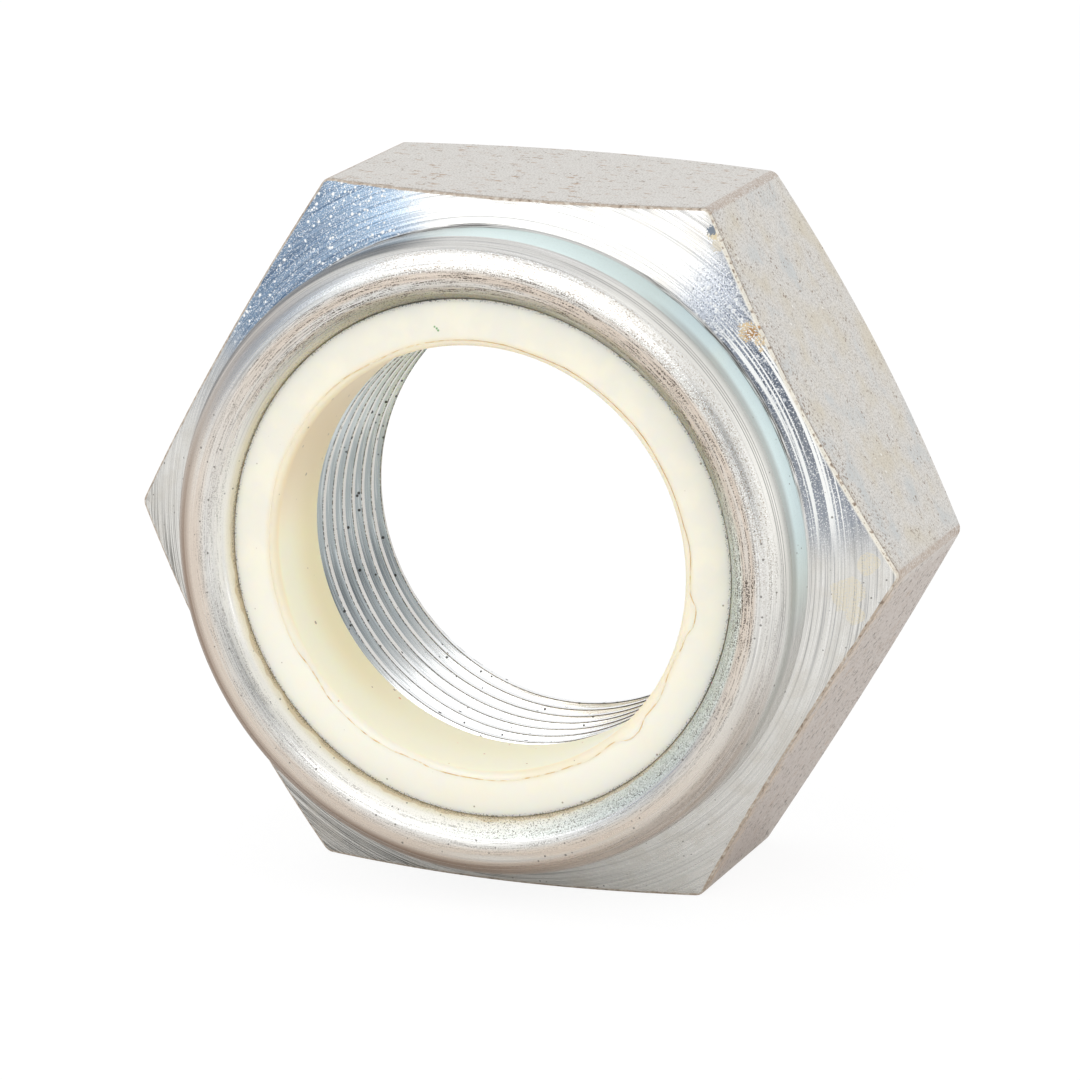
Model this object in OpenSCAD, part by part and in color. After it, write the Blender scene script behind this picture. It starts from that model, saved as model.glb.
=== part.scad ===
// Hexagon lock nut with a nylon locking insert, standing on one of its flats.
// The thread axis lies along Y, the insert faces -Y and the bearing face is at Y = 0.
// Every module below is drawn with the thread axis along Z and the bearing face at Z = 0,
// and stand_up() turns the finished piece into the standing pose.

/* [Hexagon] */
// Width across flats
across_flats = 41; // [36:0.5:46]
// Height from the bearing face to where the front chamfer meets the collar
hexagon_height = 16.3; // [15:0.1:17.5]
// Radius on the six upright corners
corner_radius = 0.6; // [0.3:0.1:1.5]
// Slope of the front chamfer, in degrees from the bearing face
front_chamfer_angle = 26.3; // [20:0.1:32]
// Slope of the chamfer round the bearing face, in degrees
back_chamfer_angle = 27; // [20:0.1:32]
// Diameter of the flat bearing face
bearing_diameter = 39; // [33:0.5:40.5]

/* [Collar] */
// Outside diameter of the round collar
collar_diameter = 37.8; // [36:0.1:39]
// Thickness of the collar's wall round the insert
collar_wall = 2.2; // [1.2:0.1:2.8]
// Height over all, from the bearing face to the top of the rolled lip
nut_height = 20.7; // [19.6:0.1:22]
// Thickness of the rim that is rolled over the insert
lip_thickness = 3.6; // [3:0.1:4.2]
// Fillet where the collar meets the front chamfer
root_fillet = 0.3; // [0.1:0.05:0.6]

/* [Thread] */
// Nominal diameter of the thread
thread_diameter = 27; // [24:0.5:28]
// Pitch of the thread
thread_pitch = 1.5; // [0.75:0.25:2]
// Length of the steel bore, from the bearing face to the insert's seat
thread_length = 13; // [11.5:0.1:14]
// Depth of the countersink at the bearing face
countersink_depth = 3.2; // [1:0.1:4]
// Included angle of that countersink, in degrees
countersink_angle = 60; // [45:1:70]
// Depth of the small chamfer at the insert's seat
seat_chamfer = 0.25; // [0.1:0.05:0.5]

/* [Insert] */
// Inside diameter of the insert
insert_bore = 25.2; // [22:0.1:25.6]
// How far the insert's face lies below the top of the lip, where the two meet
insert_depth = 1.3; // [0.9:0.1:1.6]
// How much the face rises from the lip to the bore
insert_rise = 0.4; // [0.1:0.1:0.8]
// Radius on the insert's front inner edge
insert_edge_radius = 0.5; // [0.2:0.1:1]
// Chamfer on both of the insert's hidden rear corners
insert_chamfer = 0.5; // [0.2:0.1:1]
// Clearance between the insert and the steel round it
insert_clearance = 0.04; // [0.02:0.01:0.1]

/* [Hidden] */
$fn = 96;
steel = [0.74, 0.74, 0.72];
nylon = [0.95, 0.93, 0.85];

// Cuts run this far past the faces that they open
past = 1;
// The share of the pitch by which an internal thread's minor diameter is below the nominal one
minor_share = 1.0825;

corner_reach = across_flats / sqrt(3);
// A rounded corner turns 60 degrees, in steps of this many
corner_step = 12;
corner_centre = (across_flats / 2 - corner_radius) * 2 / sqrt(3);
collar_radius = collar_diameter / 2;
bearing_radius = bearing_diameter / 2;
back_corner = (corner_reach - bearing_radius) * tan(back_chamfer_angle);
front_corner = hexagon_height - (corner_reach - collar_radius) * tan(front_chamfer_angle);

lip_radius = lip_thickness / 2;
lip_centre = [collar_radius - lip_radius, nut_height - lip_radius];
recess_radius = collar_radius - collar_wall;

bore_radius = (thread_diameter - minor_share * thread_pitch) / 2;
countersink_radius = bore_radius + countersink_depth * tan(countersink_angle / 2);

insert_radius = recess_radius - insert_clearance;
insert_bore_radius = insert_bore / 2;
face_at_lip = nut_height - insert_depth;
face_at_bore = face_at_lip + insert_rise;

// Turns a piece from its thread axis along Z to the standing pose, insert towards -Y
module stand_up() {
    rotate([90, 0, 0]) children();
}

// The hexagon's outline with its rounded corners: two flats lie level, one of them below
module hexagon_outline() {
    polygon([for (corner = [0:60:300], side = [-30:corner_step:30])
        corner_centre * [cos(corner), sin(corner)]
            + corner_radius * [cos(corner + side), sin(corner + side)]]);
}

// Half section of what the lathe leaves outside: bearing face, both chamfers, and the hexagon's reach
module turned_section() {
    polygon([
        [0, 0],
        [bearing_radius, 0],
        [corner_reach, back_corner],
        [corner_reach, front_corner],
        [collar_radius, hexagon_height],
        [0, hexagon_height]
    ]);
}

// Half section of the fillet between the front chamfer and the collar's wall
module root_fillet_section() {
    // The fillet's centre lies one radius off the wall and one radius off the chamfer
    rise = root_fillet * (1 - sin(front_chamfer_angle)) / cos(front_chamfer_angle);
    centre = [collar_radius + root_fillet, hexagon_height + rise];
    on_chamfer = centre - root_fillet * [sin(front_chamfer_angle), cos(front_chamfer_angle)];
    difference() {
        polygon([
            [collar_radius - root_fillet, centre.y],
            [collar_radius - root_fillet, hexagon_height - root_fillet],
            on_chamfer - [0, root_fillet],
            on_chamfer,
            centre
        ]);
        translate(centre) circle(r = root_fillet);
    }
}

// Half section of the collar's wall with its rim rolled inwards as a round lip
module collar_section() {
    translate([recess_radius, thread_length])
        square([collar_wall, lip_centre.y - thread_length]);
    translate(lip_centre) circle(r = lip_radius);
}

// Half section of everything that is bored out below the recess: thread, countersink, seat chamfer
module bore_section() {
    polygon([
        [0, -past],
        [countersink_radius + past * tan(countersink_angle / 2), -past],
        [bore_radius, countersink_depth],
        [bore_radius, thread_length - seat_chamfer],
        [bore_radius + seat_chamfer + past, thread_length + past],
        [0, thread_length + past]
    ]);
}

// Half section of the recess that takes the insert, open towards the lip
module recess_section() {
    translate([0, thread_length])
        square([recess_radius, nut_height - thread_length + past]);
}

// The steel nut: turned hexagon, collar and lip, with the bore and the recess cut out of it
module nut_body() {
    color(steel) stand_up() difference() {
        union() {
            intersection() {
                linear_extrude(height = hexagon_height) hexagon_outline();
                rotate_extrude() turned_section();
            }
            rotate_extrude() difference() {
                union() {
                    collar_section();
                    root_fillet_section();
                }
                translate([0, -past]) square([recess_radius, thread_length + past]);
            }
        }
        rotate_extrude() bore_section();
        rotate_extrude() difference() {
            recess_section();
            translate(lip_centre) circle(r = lip_radius);
        }
    }
}

// The nylon ring: it fills the recess, and its outer top corner follows the underside of the lip
module locking_insert() {
    color(nylon) stand_up() rotate_extrude() difference() {
        union() {
            polygon([
                [insert_bore_radius, thread_length + insert_chamfer],
                [insert_bore_radius + insert_chamfer, thread_length],
                [insert_radius - insert_chamfer, thread_length],
                [insert_radius, thread_length + insert_chamfer],
                [insert_radius, face_at_lip],
                [insert_bore_radius + insert_edge_radius, face_at_bore],
                [insert_bore_radius + insert_edge_radius, face_at_bore - insert_edge_radius],
                [insert_bore_radius, face_at_bore - insert_edge_radius]
            ]);
            translate([insert_bore_radius + insert_edge_radius, face_at_bore - insert_edge_radius])
                circle(r = insert_edge_radius);
        }
        translate(lip_centre) circle(r = lip_radius + insert_clearance);
    }
}

nut_body();
locking_insert();
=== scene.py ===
# %% [markdown]
# A lock nut: a steel hexagon with a round collar, and a ring of cream nylon rolled into it.
# The nylon grips the bolt, so that the nut doesn't shake loose. The nut stands on one flat,
# its thread axis lies along Y, and the nylon faces -Y, towards the camera.
# The CAD model comes in first. It gives the size and the place of both pieces.

# %% Load the frame
import math
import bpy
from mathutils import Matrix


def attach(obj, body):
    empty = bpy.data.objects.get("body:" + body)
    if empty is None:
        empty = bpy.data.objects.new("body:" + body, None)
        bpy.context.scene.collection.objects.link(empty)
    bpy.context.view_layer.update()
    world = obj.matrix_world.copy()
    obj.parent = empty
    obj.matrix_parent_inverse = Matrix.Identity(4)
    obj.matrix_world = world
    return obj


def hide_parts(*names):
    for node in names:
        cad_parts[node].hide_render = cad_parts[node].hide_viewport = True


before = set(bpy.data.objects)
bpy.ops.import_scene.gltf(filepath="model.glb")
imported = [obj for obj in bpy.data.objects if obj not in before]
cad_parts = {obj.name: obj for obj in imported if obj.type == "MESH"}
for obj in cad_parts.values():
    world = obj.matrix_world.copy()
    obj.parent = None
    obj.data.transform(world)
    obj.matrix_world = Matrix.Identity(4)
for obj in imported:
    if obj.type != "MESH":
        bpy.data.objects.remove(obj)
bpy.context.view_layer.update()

from types import SimpleNamespace

import bmesh
import bpy
from mathutils import Matrix, Vector

# %% [markdown]
# Every round part here was made on a lathe or in a mould, so each starts as half of its section.
# The section is drawn the way a pencil would: one vertex, extruded along straight lines, and spun
# about a centre where the outline is an arc. All sizes are real ones in millimetres, and Blender
# works in metres, so each is multiplied by mm. A lathe's radius is Blender's X, and a height above
# the bearing face is -Y, because the nut's front looks along -Y.

# %% Draw a section
mm = 0.001


def place(radius, height):
    return Vector((radius * mm, -height * mm, 0))


def select(kind, test):
    """In edit mode, select the vertices, edges or faces that pass a test, and nothing else."""
    bpy.ops.mesh.select_mode(type={"verts": "VERT", "edges": "EDGE", "faces": "FACE"}[kind])
    bpy.ops.mesh.select_all(action="DESELECT")
    mesh = bmesh.from_edit_mesh(bpy.context.object.data)
    chosen = [item for item in getattr(mesh, kind) if test(item)]
    for item in chosen:
        item.select_set(True)
    mesh.select_flush_mode()
    bmesh.update_edit_mesh(bpy.context.object.data)
    return len(chosen)


def draw_section(name, start, steps, closed=True):
    """Draw a section from straight steps ("line", r, z) and ("arc", r, z, degrees, pieces)."""
    bpy.ops.object.select_all(action="DESELECT")
    bpy.ops.mesh.primitive_plane_add(size=mm)
    piece = bpy.context.object
    piece.name = piece.data.name = name
    bpy.ops.object.mode_set(mode="EDIT")
    bpy.ops.mesh.select_mode(type="VERT")
    bpy.ops.mesh.select_all(action="SELECT")
    bpy.ops.mesh.merge(type="CENTER")
    bpy.ops.transform.translate(value=place(*start))
    pen = place(*start)
    for kind, radius, height, *arc in steps:
        goal = place(radius, height)
        if kind == "line":
            bpy.ops.mesh.extrude_vertices_move(TRANSFORM_OT_translate={"value": goal - pen})
            pen = goal
        else:
            degrees, pieces = arc
            turn = math.radians(degrees)
            bpy.ops.mesh.spin(steps=pieces, angle=turn, center=goal, axis=(0, 0, 1))
            pen = goal + Matrix.Rotation(-turn, 3, "Z") @ (pen - goal)
    if closed:
        select("verts", lambda v: len(v.link_edges) == 1)
        bpy.ops.mesh.edge_face_add()
    return piece


# %% [markdown]
# A drawn section has sharp corners where the real part has small radii, so chosen corners get a
# bevel on their vertex. Then the section is spun once round the thread axis. The spin ends where
# it began, so its two ends are merged into a closed solid, and the faces are turned outwards.

# %% Round a section's corners and turn it
WELD = 0.002 * mm


def round_corners(radius, centre, reach=0.05):
    """Round the section's vertices that lie within reach of a place, in millimetres."""
    count = select("verts", lambda v: (v.co - place(*centre)).length < reach * mm)
    bpy.ops.mesh.bevel(offset=radius * mm, offset_type="WIDTH", segments=4, affect="VERTICES",
                       clamp_overlap=False)
    return count


def weld():
    """Merge the doubles of the whole mesh and turn its faces outwards."""
    bpy.ops.mesh.select_all(action="SELECT")
    bpy.ops.mesh.remove_doubles(threshold=WELD)
    bpy.ops.mesh.normals_make_consistent(inside=False)


def turn_on_lathe(steps):
    """Spin the section once round the thread axis and close the seam."""
    bpy.ops.mesh.select_all(action="SELECT")
    bpy.ops.mesh.spin(steps=steps, angle=math.tau, center=(0, 0, 0), axis=(0, 1, 0))
    weld()


# %% [markdown]
# The steel body is one piece of bar. First it is turned: bearing face, both chamfers, the collar
# and the rim that is later rolled over the nylon. The chamfers run out past the hexagon's corners,
# because the flats are cut after. The bore is left at a pilot radius for the tap. These sizes are
# the CAD model's own.

# %% Sizes of the steel blank
HEX_HEIGHT = 16.3
BEARING_RADIUS = 19.5
FRONT_SLOPE = math.radians(26.3)
BACK_SLOPE = math.radians(27.0)
COLLAR_RADIUS = 18.9
RECESS_RADIUS = 16.7
NUT_HEIGHT = 20.7
LIP_RADIUS = 1.8
LIP_R = COLLAR_RADIUS - LIP_RADIUS
LIP_Z = NUT_HEIGHT - LIP_RADIUS
SEAT = 13.0
SEAT_CHAMFER = 0.25
MINOR_RADIUS = 12.688
PILOT_RADIUS = 11.8
COUNTERSINK_RADIUS = 14.536
COUNTERSINK_SLOPE = math.radians(30)

# %% Turn the steel blank
LATHE_STEPS = 240
BLANK_RADIUS = 24.4
CONE_INNER = 19.6
BACK_INNER = 19.9
WALL_STEP = 0.52


def on_cone(radius):
    return HEX_HEIGHT - (radius - COLLAR_RADIUS) * math.tan(FRONT_SLOPE)


def on_back(radius):
    return (radius - BEARING_RADIUS) * math.tan(BACK_SLOPE)


lip_foot = LIP_Z - math.sqrt(LIP_RADIUS ** 2 - (RECESS_RADIUS - LIP_R) ** 2)
lip_sweep = 270 - math.degrees(math.asin((LIP_R - RECESS_RADIUS) / LIP_RADIUS))
blank = draw_section("nut_steel", (COUNTERSINK_RADIUS, 0), [
    *[("line", r, 0) for r in (15.5, 16.5, 17.5, 18.5, 19.2, BEARING_RADIUS)],
    *[("line", r, on_back(r)) for r in (BACK_INNER, BLANK_RADIUS)],
    *[("line", r, on_cone(r)) for r in (BLANK_RADIUS, CONE_INNER, COLLAR_RADIUS)],
    *[("line", COLLAR_RADIUS, HEX_HEIGHT + WALL_STEP * i) for i in range(1, 5)],
    ("line", COLLAR_RADIUS, LIP_Z),
    ("arc", LIP_R, LIP_Z, lip_sweep, 54),
    ("line", RECESS_RADIUS, SEAT),
    ("line", MINOR_RADIUS + SEAT_CHAMFER, SEAT),
    ("line", PILOT_RADIUS, SEAT - SEAT_CHAMFER - MINOR_RADIUS + PILOT_RADIUS),
    ("line", PILOT_RADIUS, (COUNTERSINK_RADIUS - PILOT_RADIUS) / math.tan(COUNTERSINK_SLOPE)),
])
rounded = round_corners(0.3, (COLLAR_RADIUS, HEX_HEIGHT))
rounded += round_corners(0.15, (BEARING_RADIUS, 0))
rounded += round_corners(0.12, (COUNTERSINK_RADIUS, 0))
turn_on_lathe(LATHE_STEPS)
bpy.ops.object.mode_set(mode="OBJECT")
print("section corners rounded:", rounded, "- faces on the turned blank:", len(blank.data.polygons))

# %% [markdown]
# The thread is a real one: right-handed, 1.5 mm pitch, 60 degree flanks. A tap cuts it, so a tap
# is made here: one tooth of its profile, wound along the axis by a Screw modifier. It is wound
# longer than the bore and then cut off square at both ends, which leaves it closed.

# %% Make the tap
MAJOR_RADIUS = 13.5
PITCH = 1.5
TURNS = 12
CREST = PITCH / 4
ROOT = PITCH / 8
FLANK = (PITCH - CREST - ROOT) / 2
CREST_HEIGHT = 6.87
CREST_EDGE = 0.03
TAP_STEPS = 180
TAP_TOP = SEAT + 0.4
TAP_FOOT = -0.6
CUT_REACH = 1e-7

first = CREST_HEIGHT - TURNS / 2 * PITCH
tap = draw_section("tap", (MINOR_RADIUS, first - CREST / 2), [
    ("line", MINOR_RADIUS, first + CREST / 2),
    ("line", MINOR_RADIUS + CREST_EDGE, first + CREST / 2 + CREST_EDGE),
    ("line", MAJOR_RADIUS, first + CREST / 2 + FLANK),
    ("line", MAJOR_RADIUS, first + CREST / 2 + FLANK + ROOT),
    ("line", MINOR_RADIUS + CREST_EDGE, first + PITCH - CREST / 2 - CREST_EDGE),
    ("line", MINOR_RADIUS, first + PITCH - CREST / 2),
], closed=False)
bpy.ops.object.mode_set(mode="OBJECT")
screw = tap.modifiers.new("wind", "SCREW")
screw.axis = "Y"
screw.angle = -math.tau
screw.screw_offset = -PITCH * mm
screw.iterations = TURNS
screw.steps = screw.render_steps = TAP_STEPS
screw.use_merge_vertices = True
bpy.ops.object.modifier_apply(modifier="wind")

bpy.ops.object.mode_set(mode="EDIT")
bpy.ops.mesh.select_all(action="SELECT")
bpy.ops.mesh.remove_doubles(threshold=WELD)
for height, side in ((TAP_TOP, -1), (TAP_FOOT, 1)):
    bpy.ops.mesh.select_all(action="SELECT")
    bpy.ops.mesh.bisect(plane_co=(0, -height * mm, 0), plane_no=(0, side, 0),
                        use_fill=True, clear_outer=True, threshold=CUT_REACH)
weld()
bpy.ops.object.mode_set(mode="OBJECT")


def report(piece):
    """Print a piece's triangles, its open edges and its volume, negative if it is inside out."""
    mesh = bmesh.new()
    mesh.from_mesh(piece.data)
    open_edges = sum(len(edge.link_faces) != 2 for edge in mesh.edges)
    triangles = sum(len(face.verts) - 2 for face in mesh.faces)
    volume = round(mesh.calc_volume(signed=True) / mm ** 3, 1)
    print(piece.name, triangles, "triangles,", open_edges, "open edges,", volume, "mm3")
    mesh.free()


report(blank)
report(tap)

# %% [markdown]
# A Boolean takes the tap out of the blank's pilot bore. Both are closed solids, so the exact
# solver gives a closed solid too, and the tap is thrown away after.

# %% Tap the bore
bpy.ops.object.select_all(action="DESELECT")
blank.select_set(True)
bpy.context.view_layer.objects.active = blank
cut = blank.modifiers.new("cut thread", "BOOLEAN")
cut.operation = "DIFFERENCE"
cut.solver = "EXACT"
cut.object = tap
bpy.ops.object.modifier_apply(modifier="cut thread")
bpy.data.objects.remove(tap)
report(blank)

# %% [markdown]
# The six flats are planes that cut the turned blank, just as a mill would cut them. Bisect does
# that exactly, and where a plane meets a chamfer the edge is the arc that every real nut has.

# %% Mill the six flats
ACROSS_FLATS = 41.0


def outward(azimuth):
    """The direction away from the thread axis at an azimuth: 0 degrees is right, 90 is up."""
    return Vector((math.cos(math.radians(azimuth)), 0, math.sin(math.radians(azimuth))))


bpy.ops.object.mode_set(mode="EDIT")
for normal in [outward(30 + 60 * k) for k in range(6)]:
    bpy.ops.mesh.select_all(action="SELECT")
    bpy.ops.mesh.bisect(plane_co=normal * ACROSS_FLATS / 2 * mm, plane_no=normal,
                        use_fill=True, clear_outer=True, threshold=CUT_REACH)
weld()

# %% [markdown]
# No edge of a real nut is sharp, so the upright corners and the rims of the flats are rounded. Both
# are picked by where they lie: uprights are the sharp edges farthest from the axis, and a rim has a
# flat on one side and a chamfer on the other. The long edges that run out over a chamfer are then
# divided, and each flat gets a narrow inset, so that shading stays even.

# %% Break the edges
CORNER_RADIUS = 0.6
CORNER_REACH = 23.55
RIM_ROUND = 0.15
FLAT_INSET = 0.08


def axis_distance(point):
    return math.hypot(point.x, point.z) / mm


def is_upright(edge):
    at_corner = all(axis_distance(v.co) > CORNER_REACH for v in edge.verts)
    return at_corner and edge.calc_face_angle(0) > math.radians(50)


def is_rim(edge):
    steep = sorted(abs(face.normal.y) for face in edge.link_faces)
    across = len(steep) == 2 and steep[0] < 0.1 and steep[1] > 0.8
    return across and all(axis_distance(v.co) > 20 for v in edge.verts)


def is_spoke(edge):
    inner, outer = sorted(axis_distance(v.co) for v in edge.verts)
    front = abs(inner - CONE_INNER) < 0.01 and outer - inner > 0.4
    back = abs(inner - BACK_INNER) < 0.01 and outer - inner > 0.3
    return front or back


uprights = select("edges", is_upright)
bpy.ops.mesh.bevel(offset=CORNER_RADIUS * math.tan(math.radians(30)) * mm, segments=6, clamp_overlap=False)
rims = select("edges", is_rim)
bpy.ops.mesh.bevel(offset=RIM_ROUND * mm, segments=3, clamp_overlap=False)
spokes = select("edges", is_spoke)
bpy.ops.mesh.subdivide(number_cuts=6)
flats = select("faces", lambda f: abs(f.normal.y) < 0.05 and f.calc_area() > 100 * mm * mm)
bpy.ops.mesh.inset(thickness=FLAT_INSET * mm)
print("upright edges:", uprights, "rim edges:", rims, "spokes:", spokes, "flats:", flats)
bpy.ops.object.mode_set(mode="OBJECT")
report(blank)

# %% [markdown]
# Four finishes meet on the steel, and which face has which follows from where it lies and which way
# it looks. It is settled here, while the shape is still clean. Flats and upright corners look away
# from the axis; the rims are the narrow strips between them and the chamfer.

# %% Give each face its finish
TURNED, FLAT, TAPPED, RIM = range(4)
HEX_INNER = 20.2


def finish_of(face):
    radius = axis_distance(face.center)
    height = -face.center.y / mm
    on_countersink = abs(radius - COUNTERSINK_RADIUS + height * math.tan(COUNTERSINK_SLOPE)) < 0.03
    if radius < MAJOR_RADIUS + 0.02 and 0.3 < height < SEAT - 0.05 and not on_countersink:
        return TAPPED
    if radius > HEX_INNER and abs(face.normal.y) < 0.3:
        return FLAT
    if radius > HEX_INNER and face.area < 0.2 * mm * mm and 0.3 <= abs(face.normal.y) < 0.85:
        return RIM
    return TURNED


for face in blank.data.polygons:
    face.material_index = finish_of(face)
finishes = [face.material_index for face in blank.data.polygons]
print("faces by finish:", [finishes.count(finish) for finish in (TURNED, FLAT, TAPPED, RIM)])

# %% [markdown]
# A rim on a used nut isn't an even bevel. Spanners and other nuts have knocked it, so it gets more
# vertices and each is pushed a few hundredths of a millimetre, from a fixed seed. The merges above
# leave the vertices in another order in each run, so they are sorted first, by their distance from
# a point off to one side, and the same seed gives the same rim. The rim is then drawn in by as
# much, so that no point stands outside the flats.

# %% Knock the rims
RIM_KNOCK = 0.04
SORT_FROM = (11.3, 7.1, 3.7)


def in_rim(edge):
    return all(face.material_index == RIM for face in edge.link_faces) and edge.calc_length() > 0.25 * mm


def on_rim(vertex):
    touched = {face.material_index for face in vertex.link_faces}
    return RIM in touched and FLAT not in touched


bpy.ops.object.mode_set(mode="EDIT")
rim_edges = select("edges", in_rim)
bpy.ops.mesh.subdivide(number_cuts=3)
rim_points = select("verts", on_rim)
bpy.context.scene.cursor.location = Vector(SORT_FROM) * mm
bpy.ops.mesh.sort_elements(type="CURSOR_DISTANCE", elements={"VERT"})
bpy.context.scene.cursor.location = (0, 0, 0)
bpy.ops.transform.vertex_random(offset=RIM_KNOCK * mm, seed=5)
bpy.ops.transform.shrink_fatten(value=-RIM_KNOCK / 2 * mm)
print("rim edges divided:", rim_edges, "points knocked:", rim_points)
bpy.ops.object.mode_set(mode="OBJECT")
report(blank)
bpy.ops.object.shade_smooth_by_angle(angle=math.radians(30))

# %% [markdown]
# The insert is a moulded ring of nylon. It fills the recess with a hair's clearance. Its outside
# follows the underside of the rolled lip, its face rises in a soft curve towards the bore, and
# its inner edge is rounded. The two curves are drawn as runs of short lines.

# %% Sizes of the nylon ring
INSERT_BORE = 12.6
INSERT_RADIUS = 16.66
FACE_AT_LIP = 19.4
FACE_AT_BORE = 19.8
FACE_OUTER = 15.37
EDGE = 0.5
REAR_CHAMFER = 0.5
CLEARANCE = 0.04
LIP_LINES = 16
FACE_LINES = 8
BORE_LINES = 10
BORE_STEP = 0.58

# %% Mould the nylon ring
inner_face = INSERT_BORE + EDGE


def face_height(radius):
    """The height of the nylon's face, with its rounded inner edge."""
    share = min((FACE_OUTER - radius) / (FACE_OUTER - inner_face), 1)
    rise = (FACE_AT_BORE - FACE_AT_LIP) * math.sin(math.pi / 2 * share)
    drop = EDGE - math.sqrt(EDGE ** 2 - max(inner_face - radius, 0) ** 2)
    return FACE_AT_LIP + rise - drop


bead = LIP_RADIUS + CLEARANCE
foot = lip_foot - CLEARANCE
under = math.degrees(math.atan2(LIP_Z - foot, LIP_R - INSERT_RADIUS))
contact = math.degrees(math.asin((FACE_AT_LIP - LIP_Z) / bead))
round_lip = [math.radians((under + contact) * i / LIP_LINES - under) for i in range(1, LIP_LINES + 1)]
to_bore = [FACE_OUTER - (FACE_OUTER - inner_face) * i / FACE_LINES for i in range(1, FACE_LINES + 1)]
ring = draw_section("nylon_ring", (inner_face, SEAT), [
    ("line", INSERT_RADIUS - REAR_CHAMFER, SEAT),
    ("line", INSERT_RADIUS, SEAT + REAR_CHAMFER),
    ("line", INSERT_RADIUS, foot),
    *[("line", LIP_R - bead * math.cos(a), LIP_Z + bead * math.sin(a)) for a in round_lip],
    *[("line", r, face_height(r)) for r in to_bore],
    ("arc", inner_face, FACE_AT_BORE - EDGE, 90, 8),
    *[("line", INSERT_BORE, FACE_AT_BORE - EDGE - BORE_STEP * i) for i in range(1, BORE_LINES + 1)],
])
turn_on_lathe(LATHE_STEPS)
bpy.ops.object.mode_set(mode="OBJECT")
bpy.ops.object.shade_smooth_by_angle(angle=math.radians(30))
report(ring)

# %% [markdown]
# Where the two halves of the mould met, the nylon has a thin line of flash, folded flat onto the face. It is
# a thin ring to start with. Its points are then drawn outwards in a few listed places, with a soft falloff,
# and given a small random shift, so that it wanders as the real one does. Last, each point is dropped onto
# the curved face below it.

# %% Lay the flash line
FLASH_RADIUS = 13.0
FLASH_HALF_WIDTH = 0.03
FLASH_WANDER = 0.02
# Each bend has an azimuth in degrees, a push outwards in mm and a width in degrees
FLASH_BENDS = ((216, -0.16, 7), (238, 0.05, 6), (252, -0.10, 5), (277, 0.06, 8), (303, 0.10, 6),
               (317, 0.50, 5), (326, 0.22, 7), (337, -0.05, 4), (344, 0.12, 4), (352, 0.48, 5),
               (8, 0.10, 6), (40, 0.05, 9), (75, -0.08, 8), (120, -0.10, 9), (160, 0.08, 9))


def is_beside(aim):
    """A test for vertices within 2 degrees of an azimuth."""
    return lambda v: v.co.normalized().dot(aim) > math.cos(math.radians(2)) * v.co.xz.length / v.co.length


bpy.ops.object.select_all(action="DESELECT")
bpy.ops.mesh.primitive_torus_add(
    major_radius=FLASH_RADIUS * mm, minor_radius=FLASH_HALF_WIDTH * mm, major_segments=480, minor_segments=6,
    location=(0, -face_height(FLASH_RADIUS) * mm, 0), rotation=(math.radians(90), 0, 0))
flash = bpy.context.object
flash.name = flash.data.name = "mould_flash"
bpy.ops.object.transform_apply(location=True, rotation=True, scale=True)
bpy.ops.object.mode_set(mode="EDIT")
for azimuth, push, width in FLASH_BENDS:
    aim = outward(azimuth)
    select("verts", is_beside(aim))
    bpy.ops.transform.translate(
        value=aim * push * mm, use_proportional_edit=True, proportional_edit_falloff="SMOOTH",
        proportional_size=math.radians(width) * FLASH_RADIUS * mm)
bpy.ops.mesh.select_all(action="SELECT")
bpy.ops.transform.vertex_random(offset=FLASH_WANDER * mm, seed=2)
for vertex in bmesh.from_edit_mesh(flash.data).verts:
    here = min(face_height(axis_distance(vertex.co)), FACE_AT_BORE)
    vertex.co.y += (face_height(FLASH_RADIUS) - here) * mm
bpy.ops.object.mode_set(mode="OBJECT")
bpy.ops.object.shade_smooth()
report(flash)

# %% [markdown]
# Materials are built from nodes. Colours are written as sRGB hex codes, as a paint chart gives
# them, and one function turns them to linear. One small function adds any node, with its settings
# and its links, so that a whole material reads as a list of what is on the metal.

# %% Colours and nodes
def colour(hex_code):
    channels = [int(hex_code[i:i + 2], 16) / 255 for i in (1, 3, 5)]
    linear = [c / 12.92 if c <= 0.04045 else ((c + 0.055) / 1.055) ** 2.4 for c in channels]
    return (*linear, 1.0)


def add(tree, kind, settings=None, **inputs):
    """Add a node of a kind. Inputs are named or numbered (_0, _1), and hold a value, a node or a socket."""
    node = tree.nodes.new("ShaderNode" + kind)
    for name, value in (settings or {}).items():
        setattr(node, name, value)
    for name, value in inputs.items():
        socket = node.inputs[int(name[1:])] if name[0] == "_" else node.inputs[name.replace("_", " ")]
        if isinstance(value, bpy.types.Node):
            value = next(out for out in value.outputs if out.enabled)
        if isinstance(value, bpy.types.NodeSocket):
            tree.links.new(value, socket)
        else:
            socket.default_value = value
    return node


def new_material(name):
    material = bpy.data.materials.new(name)
    material.use_nodes = True
    material.node_tree.nodes.clear()
    return material, material.node_tree


def close_material(material, shader):
    """Join the shader to the output and print how many nodes the material has."""
    add(material.node_tree, "OutputMaterial", Surface=shader)
    print("material", material.name, "has", len(material.node_tree.nodes), "nodes")


# %% [markdown]
# All patterns have to know where on the nut a point lies, in a turner's terms: its radius, its
# height above the bearing face, and the direction round the axis. On the rolled lip the angle round
# its own bead counts too: 0 degrees is the outer wall, 90 the top, and the nylon meets it at 164.
# All of it comes from the Object coordinates, turned to millimetres.

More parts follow.
